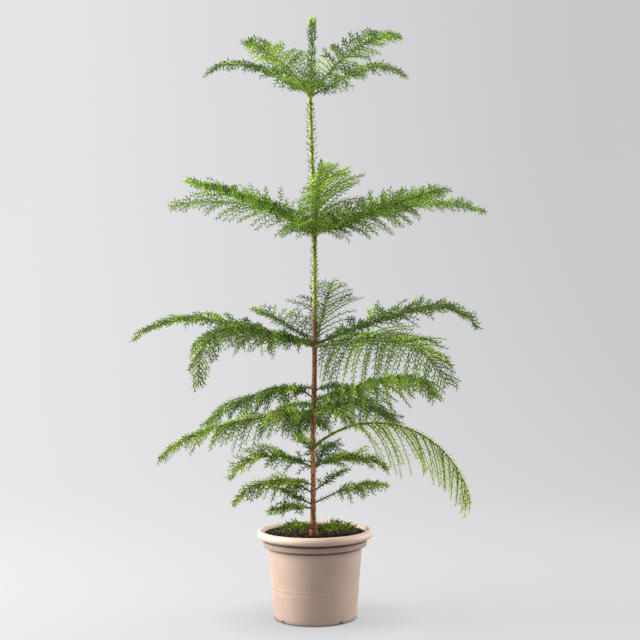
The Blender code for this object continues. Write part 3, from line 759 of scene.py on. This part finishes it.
def add_crumbs(rng, dark, pale):
    shape, faces = crumb_shape()
    for i in range(CRUMB_COUNT):
        x, y = on_mix(rng, 0.965)
        if math.hypot(x, y) < TRUNK_FOOT_SPACE:
            continue
        size = 0.0008 + 0.0028 * rng.random() ** 3
        lumpy = np.array([1 + 0.45 * noise.noise(Vector(p) * 1.7 + Vector((i, 0, 0))) for p in shape])
        stretch = np.array([rng.uniform(0.7, 1.4), rng.uniform(0.7, 1.3), rng.uniform(0.5, 0.9)])
        points = shape * lumpy[:, None] * stretch * size
        kind = pale if rng.random() < PALE_CRUMBS else dark
        kind.add(points + np.array((x, y, soil_height(x, y) + size * 0.3)), faces)


def add_fibres(rng, pale):
    for _ in range(FIBRE_COUNT):
        x, y = on_mix(rng, 0.93)
        if math.hypot(x, y) < TRUNK_FOOT_SPACE + 0.002:
            continue
        heading, length = rng.uniform(0, 2 * math.pi), rng.uniform(0.004, 0.012)
        reach = np.array((math.cos(heading), math.sin(heading), rng.uniform(-0.1, 0.35))) * length
        start = np.array((x, y, soil_height(x, y) + 0.0006))
        bow = np.array((0, 0, rng.uniform(0, 0.0015)))
        path = np.array([start, start + reach / 2 + bow, start + reach])
        if np.hypot(*path[-1, :2]) > SOIL_RADIUS * 0.97:
            continue
        rings = tube_rings(path, np.linspace(0, path_length(path), 4), FIBRE_RADII, 4)
        points, quads = lattice(rings)
        pale.add(points, np.concatenate([quads[:, [0, 1, 2]], quads[:, [0, 2, 3]]]))


def make_crumbs():
    """Loose crumbs and fibres of peat on the mix."""
    rng = random.Random(7)
    dark, pale = Gathered(), Gathered()
    add_crumbs(rng, dark, pale)
    add_fibres(rng, pale)
    for kind, name, tones in (
        (dark, "peat_crumbs", ((30, 22, 18), (66, 50, 38))),
        (pale, "peat_fibres", ((88, 66, 46), (128, 100, 72))),
    ):
        settle(kind.made(name, soil_finish(name + "_finish", *tones)), ["soil"])


# ---------------- limbs


def trunk_columns(above):
    """Radius, x and y of the trunk above its foot."""
    return [np.interp(above, TRUNK_STATIONS[:, 0], TRUNK_STATIONS[:, i]) for i in (1, 2, 3)]


def trunk_at(height):
    """Centre and radius of the trunk at a height above the pot's underside."""
    radius, x, y = map(float, trunk_columns(height - TRUNK_FOOT))
    return np.array((x, y, height)), radius


def trunk_line():
    """Smoothed centre line and radii, as rings at even steps."""
    top = TRUNK_STATIONS[-1, 0]
    above = np.linspace(0, top, int(top / TRUNK_RING_STEP))
    smooth = np.ones(19) / 19
    padded = [np.pad(column, 9, mode="edge") for column in trunk_columns(above)]
    radius, x, y = (np.convolve(column, smooth, mode="valid") for column in padded)
    return np.stack([x, y, TRUNK_FOOT + above], -1), above, radius


def ring_noise(at, angle, scale, squeeze, seed):
    """Noise round a limb that meets itself where the angle comes full circle."""
    point = Vector((math.cos(angle) * scale + seed, math.sin(angle) * scale, at * squeeze))
    return noise.noise(point)


def bark_relief(above, sides, depth, squeeze, seed):
    """Shallow ridges and dents, by ring and corner."""
    angles = 2 * np.pi * np.arange(sides) / sides
    relief = np.empty((len(above), sides))
    for i, at in enumerate(above):
        for j, angle in enumerate(angles):
            coarse = ring_noise(at, angle, 1.3, squeeze, seed)
            fine = ring_noise(at, angle, 3.1, squeeze * 2.7, seed + 9)
            relief[i, j] = depth * (0.6 * coarse + 0.5 * fine)
    return relief


def tier_swelling(heights):
    """Extra radius where limbs leave the trunk."""
    swelling = np.zeros(len(heights))
    for frond in FRONDS:
        size = 0.0009 if frond.bare else 0.0005
        swelling = np.maximum(swelling, size * np.exp(-(((heights - frond.height) / 0.007) ** 2)))
    return swelling


def make_trunk():
    line, above, radius = trunk_line()
    old = np.clip(1.15 - above / 0.55, 0.12, 1)
    relief = bark_relief(above, TRUNK_SEGMENTS, 0.0009, 95, 3) * old[:, None]
    radius = radius + tier_swelling(line[:, 2])
    rings = tube_rings(line, above, radius, TRUNK_SEGMENTS, relief)
    rings[0, :, 2] = TRUNK_FOOT - 0.0015
    points, quads = lattice(closed_end(rings))
    settle(object_of("trunk_stem", points, quads, trunk_finish()), ["trunk"])


def frond_axis(frond):
    """Centre line from the trunk's surface to the tip, as points at even steps."""
    centre, radius = trunk_at(frond.height)
    heading = math.radians(frond.heading)
    at = centre + np.array((math.cos(heading), math.sin(heading), 0)) * radius
    points = [at]
    step = frond.length / AXIS_STEPS
    for i in range(AXIS_STEPS):
        share = (i + 0.5) / AXIS_STEPS
        turned_to = math.radians(frond.heading + frond.turn * share)
        slope = math.radians(frond.rise + (frond.fall - frond.rise) * share**frond.curl)
        flat = np.array((math.cos(turned_to), math.sin(turned_to), 0))
        at = at + step * (math.cos(slope) * flat + math.sin(slope) * UP)
        points.append(at)
    return np.array(points)


def limb_radius(frond, distance):
    """Radius of bough and stem, which are thinner high on the plant and towards their tips."""
    above = (frond.height - LOW_LIMB_HEIGHT) / (HIGH_LIMB_HEIGHT - LOW_LIMB_HEIGHT)
    root = LOW_LIMB_RADIUS + (HIGH_LIMB_RADIUS - LOW_LIMB_RADIUS) * min(1, max(0, above))
    if not frond.bare:
        root *= 0.6
    share = np.clip(np.asarray(distance) / frond.length, 0, 1)
    return root + (STEM_TIP_RADIUS - root) * share**LIMB_TAPER


def bough_shape(frond, axis, index):
    """Points and faces of a bough with bark, a collar at the trunk and its end inside the stem."""
    distances = np.arange(0, frond.bare + 0.004, BOUGH_RING_STEP)
    collar = 0.0022 * np.exp(-((distances / 0.005) ** 1.4))
    radii = limb_radius(frond, distances) + collar
    relief = bark_relief(distances, BOUGH_SEGMENTS, 0.00045, 130, index * 5.0)
    rings = tube_rings(axis, distances, radii, BOUGH_SEGMENTS, relief)
    inward = unit(axis[0] - axis[1]) * BOUGH_SUNK
    return lattice(closed_end(np.concatenate([(rings[0] + inward)[None], rings])))


def stem_shape(frond, axis):
    """Points and faces of the leafy stem, up to the frond's tip."""
    start = max(0.0, frond.bare - 0.003)
    distances = np.linspace(start, frond.length, max(8, int((frond.length - start) / 0.006)))
    radii = limb_radius(frond, distances)
    rings = tube_rings(axis, distances, radii, 6)
    if not frond.bare:
        inward = unit(axis[0] - axis[1]) * BOUGH_SUNK
        rings = np.concatenate([(rings[0] + inward)[None], rings])
    return lattice(closed_end(rings))


# ---------------- shoots


def shoot_length(frond, share):
    """Length of a side shoot at a share of the leafy length: short at both ends."""
    swell = min(1, max(0.3, SHOOT_SWELL[0] + SHOOT_SWELL[1] * share))
    return frond.reach * swell * (1 - SHOOT_TAPER[0] * max(0, share) ** SHOOT_TAPER[1])


def habit(frond):
    return USUAL_HABIT._replace(**HABITS.get(frond.name, {}))


def shoot_places(frond):
    """Distances and sides of the side shoots of one frond."""
    step = habit(frond).step
    first = habit(frond).late + (SHOOT_FIRST + frond.bare * 0.3 if frond.bare else SHOOT_FIRST_LOW)
    count = int((frond.length - first - SHOOT_LAST) / step) + 1
    for i in range(count):
        for side_sign in (-1, 1):
            distance = first + step * (i + (0.5 if side_sign > 0 else 0))
            if distance < frond.length - SHOOT_LAST:
                yield distance, side_sign


def shoot_path(frond, axis, distance, side_sign, length, rng):
    """Curved centre line of one side shoot: out and forwards, bending with the frond's lift."""
    at, direction, side, over = (part[0] for part in frames_along(axis, np.array([distance])))
    roll = math.radians(frond.roll + habit(frond).roll)
    side, over = (
        side * math.cos(roll) + over * math.sin(roll),
        over * math.cos(roll) - side * math.sin(roll),
    )
    share = (distance - frond.bare) / (frond.length - frond.bare)
    spread = SPREAD_ROOT + (SPREAD_TIP - SPREAD_ROOT) * max(0, share) - habit(frond).closer
    spread = math.radians(spread + rng.uniform(-SPREAD_VARIETY, SPREAD_VARIETY))
    scatter = habit(frond).scatter
    lift = math.radians(frond.lift + rng.uniform(-scatter, scatter))
    raised = unit(over + UP)
    outward = side * side_sign * math.cos(lift) + raised * math.sin(lift)
    first = direction * math.cos(spread) + outward * math.sin(spread)
    second = unit(first + raised * math.tan(lift) * SHOOT_BEND + direction * SHOOT_TURN)
    arch = UP * rng.uniform(*SHOOT_ARCH)
    points = [at]
    for i in range(6):
        t = (i + 0.5) / 6
        heading = unit(first * (1 - t) + second * t + arch * (1 - SHOOT_DROOP * t**1.5))
        points.append(points[-1] + heading * length / 6)
    return np.array(points)


class Space:
    """Capsules along the limbs, each with an owner, to keep shoots from running into them."""

    def __init__(self):
        self.owners, self.starts, self.spans, self.radii = [], [], [], []
        self.arrays = None

    def take(self, owner, path, radius):
        for a, b in zip(path[:-1], path[1:]):
            self.owners.append(owner)
            self.starts.append(a)
            self.spans.append(b - a)
            self.radii.append(radius)
        self.arrays = None

    def clear(self, owner, path, reach):
        if self.arrays is None:
            self.arrays = [np.array(x) for x in (self.owners, self.starts, self.spans, self.radii)]
        owners, starts, spans, radii = self.arrays
        others = owners != owner
        starts, spans, radii = starts[others], spans[others], radii[others]
        away = path[:, None] - starts[None]
        along = np.sum(away * spans, -1) / np.maximum(np.sum(spans * spans, -1), 1e-12)
        nearest = away - np.clip(along, 0, 1)[..., None] * spans
        return bool((np.linalg.norm(nearest, axis=-1) > radii + reach).all())


def inside_pot_or_mix(path):
    """Whether a shoot comes too near the floor, the mix or the pot's rim."""
    out, height = np.hypot(path[:, 0], path[:, 1]), path[:, 2]
    over_pot = out < RIM_RADIUS + POT_CLEARANCE
    in_mix = (height < SOIL_TOP + MIX_CLEARANCE) & over_pot
    in_rim = (height < RIM_TOP + RIM_CLEARANCE) & over_pot & (out > SOIL_RADIUS - RIM_CLEARANCE)
    return bool((in_mix | in_rim | (height < FLOOR_CLEARANCE)).any())


def grow_shoots(frond, axis, space, rng):
    """Side shoots of one frond that keep clear of the trunk and of other fronds' stems."""
    grown = []
    for distance, side_sign in shoot_places(frond):
        share = (distance - frond.bare) / (frond.length - frond.bare)
        longer = habit(frond).longer[side_sign > 0]
        longer *= 1 + (habit(frond).tip - 1) * share**2
        length = shoot_length(frond, share) * longer * rng.uniform(0.85, 1.1)
        for shorter in (1.0, 0.8, 0.6, 0.4):
            if length * shorter < SHOOT_LEAST:
                continue
            path = shoot_path(frond, axis, distance, side_sign, length * shorter, rng)
            if inside_pot_or_mix(path):
                continue
            if space.clear(frond.name, path[1:], CLEARANCE / 2):
                break
        else:
            continue
        grown.append((share, path))
    return grown


# ---------------- needles

NEEDLE_FACES = np.array([(0, 2, 1), (0, 3, 2), (0, 1, 3), (4, 1, 2), (4, 2, 3), (4, 3, 1)])


def needles(path, start, step, core, length, spread, rng, end=None):
    """A spiral of awl-shaped needles round a path: points and faces.

    core is the radius that they stand on, and spread the angle between needle and shoot."""
    total = path_length(path) if end is None else end
    count = max(3, int((total - start) / step))
    distances = start + (total - start) * (np.arange(count) + 0.5) / count
    share = (distances - start) / (total - start)
    at, direction, side, over = frames_along(path, distances)
    jitter = np.array([rng.uniform(-1, 1) for _ in range(3 * count)]).reshape(3, count)
    angle = np.arange(count) * GOLDEN_ANGLE + jitter[0] * 0.35 + rng.uniform(0, 6)
    outward = np.cos(angle)[:, None] * side + np.sin(angle)[:, None] * over
    lean = np.radians(spread * (1 - 0.45 * share**4) + 8 * jitter[1])[:, None]
    heading = np.cos(lean) * direction + np.sin(lean) * outward
    long = (length * (1 + 0.16 * jitter[2]) * (1 - 0.3 * share**5))[:, None]
    core = np.broadcast_to(core, (count,))[:, None]
    root = at + outward * core * 0.85
    belly = root + heading * long * NEEDLE_BELLY
    tip = belly + unit(heading + direction * NEEDLE_HOOK) * long * (1 - NEEDLE_BELLY)
    across = unit(np.cross(direction, outward))
    keel = unit(np.cross(across, heading))
    wide = NEEDLE_WIDTH * np.clip(long / NEEDLE_LENGTH, *NEEDLE_CLIP)
    ring = [belly + across * wide, belly + keel * wide * 0.9, belly - across * wide]
    points = np.stack([root, *ring, tip], axis=1).reshape(-1, 3)
    faces = NEEDLE_FACES[None] + 5 * np.arange(count)[:, None, None]
    return points, faces.reshape(-1, 3)


def twig(path, thick, thin):
    distances = np.linspace(0, path_length(path), 6)
    return lattice(tube_rings(path, distances, np.linspace(thick, thin, 6), 4))


class Foliage:
    """Needles by tone and twigs, for the upper or the lower fronds."""

    def __init__(self, part):
        self.part = part
        self.nodes = []
        self.tones = {tone: Gathered() for tone in TONE_ORDER}
        self.twigs = Gathered()

    def add_needles(self, brightness, made):
        place = min(len(TONE_ORDER) - 1, max(0, int(brightness * 4)))
        self.tones[TONE_ORDER[place]].add(*made)

    def make(self):
        for tone, gathered in self.tones.items():
            if gathered.count:
                made = gathered.made(f"needles_{self.part}_{tone}", NEEDLE_FINISHES[tone], smooth=False)
                settle(made, self.nodes)
        made = self.twigs.made(f"twigs_{self.part}", TWIG_FINISHES[self.part])
        settle(made, self.nodes)


def frond_light(frond):
    """How light the frond's needles are: low and front fronds are lighter than high and back ones, which is
    painted light and painted shade, and the habit adds its tone.
    """
    high = (frond.height - 0.2) / 0.9
    back = math.sin(math.radians(frond.heading))
    return LIGHT_USUAL - PAINTED_LIGHT_LOST_HIGH * high - PAINTED_SHADE_AT_BACK * back + habit(frond).tone


def dress_frond(frond, axis, foliage, space, rng):
    """Stem, side shoots and needles of one frond."""
    foliage.twigs.add(*stem_shape(frond, axis))
    light = frond_light(frond)
    part = (frond.length - STEM_NEEDLES_FROM) / STEM_PARTS
    core = float(limb_radius(frond, frond.length * 0.4))
    for i in range(STEM_PARTS):
        start = STEM_NEEDLES_FROM + part * i
        end = STEM_NEEDLES_FROM + part * (i + 1)
        thick = float(limb_radius(frond, (start + end) / 2))
        made = needles(axis, start, STEM_NEEDLE_STEP, thick, NEEDLE_LENGTH, NEEDLE_SPREAD, rng, end)
        tone = light + LIGHT_TO_STEM_TIP * i / STEM_PARTS + rng.uniform(-LIGHT_OF_STEM, LIGHT_OF_STEM)
        foliage.add_needles(tone, made)
    for share, path in grow_shoots(frond, axis, space, rng):
        foliage.twigs.add(*twig(path, TWIG_RADIUS * 1.25, TWIG_RADIUS * 0.5))
        tone = light + LIGHT_TO_SHOOT_TIP * share + rng.uniform(-LIGHT_OF_SHOOT, LIGHT_OF_SHOOT)
        made = needles(path, min(core, 0.004), NEEDLE_STEP, TWIG_RADIUS, NEEDLE_LENGTH, NEEDLE_SPREAD, rng)
        foliage.add_needles(tone, made)


def mass_nodes(frond):
    if frond.split:
        return [frond.name + "_inner_foliage", frond.name + "_outer_foliage"]
    return [frond.name + "_foliage"]


def dress_leader(foliage, rng):
    """Needles on the green part of the trunk and the tuft on its tip."""
    line, above, radius = trunk_line()
    for low, high, step, length, spread, tone in TRUNK_NEEDLES:
        start, end = low - TRUNK_FOOT, high - TRUNK_FOOT
        thick = float(np.interp((start + end) / 2, above, radius))
        made = needles(line, start, step, thick, length, spread, rng, end)
        foliage.add_needles(tone, made)
    foot = line[-1]
    lean = unit(np.array(LEADER_LEAN))
    path = np.array([foot, foot + UP * LEADER_TUFT * 0.5, foot + (UP + lean) * LEADER_TUFT * 0.47])
    foliage.twigs.add(*twig(path, *LEADER_RADIUS))
    for share, step, length, spread, tone in LEADER_NEEDLES:
        start = path_length(path) * share
        foliage.add_needles(tone, needles(path, start, step, LEADER_RADIUS[0], length, spread, rng))


def make_plant():
    make_trunk()
    space = Space()
    line, above, radius = trunk_line()
    space.take("trunk", line[::12], TRUNK_SPACE)
    axes = {frond.name: frond_axis(frond) for frond in FRONDS + SPRIGS}
    for frond in FRONDS:
        space.take(frond.name, axes[frond.name][::4], CLEARANCE / 2)
    foliage = {part: Foliage(part) for part in ("upper", "lower")}
    boughs = {part: (Gathered(), []) for part in foliage}
    for index, frond in enumerate(FRONDS + SPRIGS):
        part = "upper" if frond.name.startswith(UPPER_TIERS) else "lower"
        rng = random.Random(FROND_SEED + index)
        if frond.bare:
            boughs[part][0].add(*bough_shape(frond, axes[frond.name], index))
            boughs[part][1].append(frond.name + "_bough")
        if frond in FRONDS:
            foliage[part].nodes += mass_nodes(frond)
        dress_frond(frond, axes[frond.name], foliage[part], space, rng)
    foliage["upper"].nodes.append("leader_tuft")
    dress_leader(foliage["upper"], random.Random(FROND_SEED - 1))
    for part, (gathered, nodes) in boughs.items():
        settle(gathered.made(f"boughs_{part}", BOUGH_FINISHES[part]), nodes)
    for part in foliage.values():
        part.make()


# ---------------- stage


def make_camera():
    yaw, pitch, roll = (math.radians(a) for a in (CAMERA_YAW, CAMERA_PITCH, CAMERA_ROLL))
    ahead = Vector((math.sin(yaw) * math.cos(pitch), math.cos(yaw) * math.cos(pitch), math.sin(pitch)))
    right = Vector((math.cos(yaw), -math.sin(yaw), 0))
    up = right.cross(ahead)
    right, up = right * math.cos(roll) - up * math.sin(roll), right * math.sin(roll) + up * math.cos(roll)
    camera = bpy.data.objects.new("camera", bpy.data.cameras.new("camera"))
    camera.data.lens = LENS
    camera.data.sensor_width = 36
    turn = Matrix((right, up, -ahead)).transposed().to_4x4()
    camera.matrix_world = Matrix.Translation(CAMERA_AT) @ turn
    bpy.context.scene.collection.objects.link(camera)
    bpy.context.scene.camera = camera


def make_floor():
    """A pale floor that curves up into the backdrop on every side and glows by itself.

    The glow is strongest at the back left and weakest at the front, which is in soft shade."""
    outline = [(0.0, 0.0), (FLOOR_RADIUS, 0.0)]
    for i in range(1, 25):
        angle = math.pi / 2 * i / 24
        outline.append((FLOOR_RADIUS + FLOOR_BEND * math.sin(angle), FLOOR_BEND * (1 - math.cos(angle))))
    outline.append((FLOOR_RADIUS + FLOOR_BEND, BACKDROP_TOP))
    points, quads = lattice(turned(outline, 96))
    finish = Finish("studio_paper", 0.9, 0.1)
    finish.colour(finish.ramp(finish.noise(0.8, 1), [(0.3, (66, 66, 67)), (0.7, (69, 69, 70))]))
    finish.shader.inputs["Emission Color"].default_value = linear((253, 253, 255))
    parts = finish.parts()
    away = finish.away()
    glow = finish.span(parts["X"], *GLOW_ACROSS)
    # The glow is dimmed round and under the pot as a painted shadow
    for value, spans in ((parts["Y"], GLOW_DEEP), (away, PAINTED_SHADOW_BY_POT), (away, PAINTED_SHADOW_UNDER_POT)):
        glow = finish.maths("MULTIPLY", glow, finish.span(value, *spans))
    finish.links.new(glow, finish.shader.inputs["Emission Strength"])
    object_of("floor", points, quads, finish.made)


def area_light(name, at, target, size, watts, colour=(1.0, 1.0, 1.0)):
    data = bpy.data.lights.new(name, "AREA")
    data.shape = "RECTANGLE"
    data.size, data.size_y = size
    data.energy = watts
    data.color = colour
    lamp = bpy.data.objects.new(name, data)
    lamp.location = at
    lamp.rotation_mode = "QUATERNION"
    lamp.rotation_quaternion = (Vector(target) - Vector(at)).to_track_quat("-Z", "Y")
    bpy.context.scene.collection.objects.link(lamp)


def make_lights():
    area_light("left_strip", (-1.9, -0.02, 1.1), (0, 0, 0.55), (0.7, 2.0), 86, (1.0, 0.995, 0.98))
    area_light("right_strip", (1.9, 0.5, 1.0), (0, 0, 0.5), (0.6, 1.8), 38)
    area_light("overhead", (-0.5, -0.1, 2.9), (0, 0, 0.5), (1.3, 1.3), 64)
    world = bpy.data.worlds.new("studio")
    world.use_nodes = True
    background = world.node_tree.nodes["Background"]
    background.inputs["Color"].default_value = (1.0, 1.0, 1.0, 1)
    background.inputs["Strength"].default_value = 0.05
    bpy.context.scene.world = world
    bpy.context.scene.view_settings.view_transform = "Standard"


NEEDLE_FINISHES = {tone: leafy_finish("needles_" + tone, colour) for tone, colour in TONES.items()}
TWIG_FINISHES = {
    "upper": leafy_finish("green_twig", (142, 164, 66), 0.5),
    "lower": leafy_finish("olive_twig", (108, 116, 58), 0.55),
}
BOUGH_FINISHES = {
    "upper": bough_finish("green_bough", (112, 140, 44), (140, 162, 56), (84, 84, 36)),
    "lower": bough_finish("olive_bough", (92, 92, 46), (124, 128, 58), (66, 54, 34)),
}

make_camera()
make_floor()
make_lights()
make_pot()
make_soil()
make_plant()

bpy.context.view_layer.update()
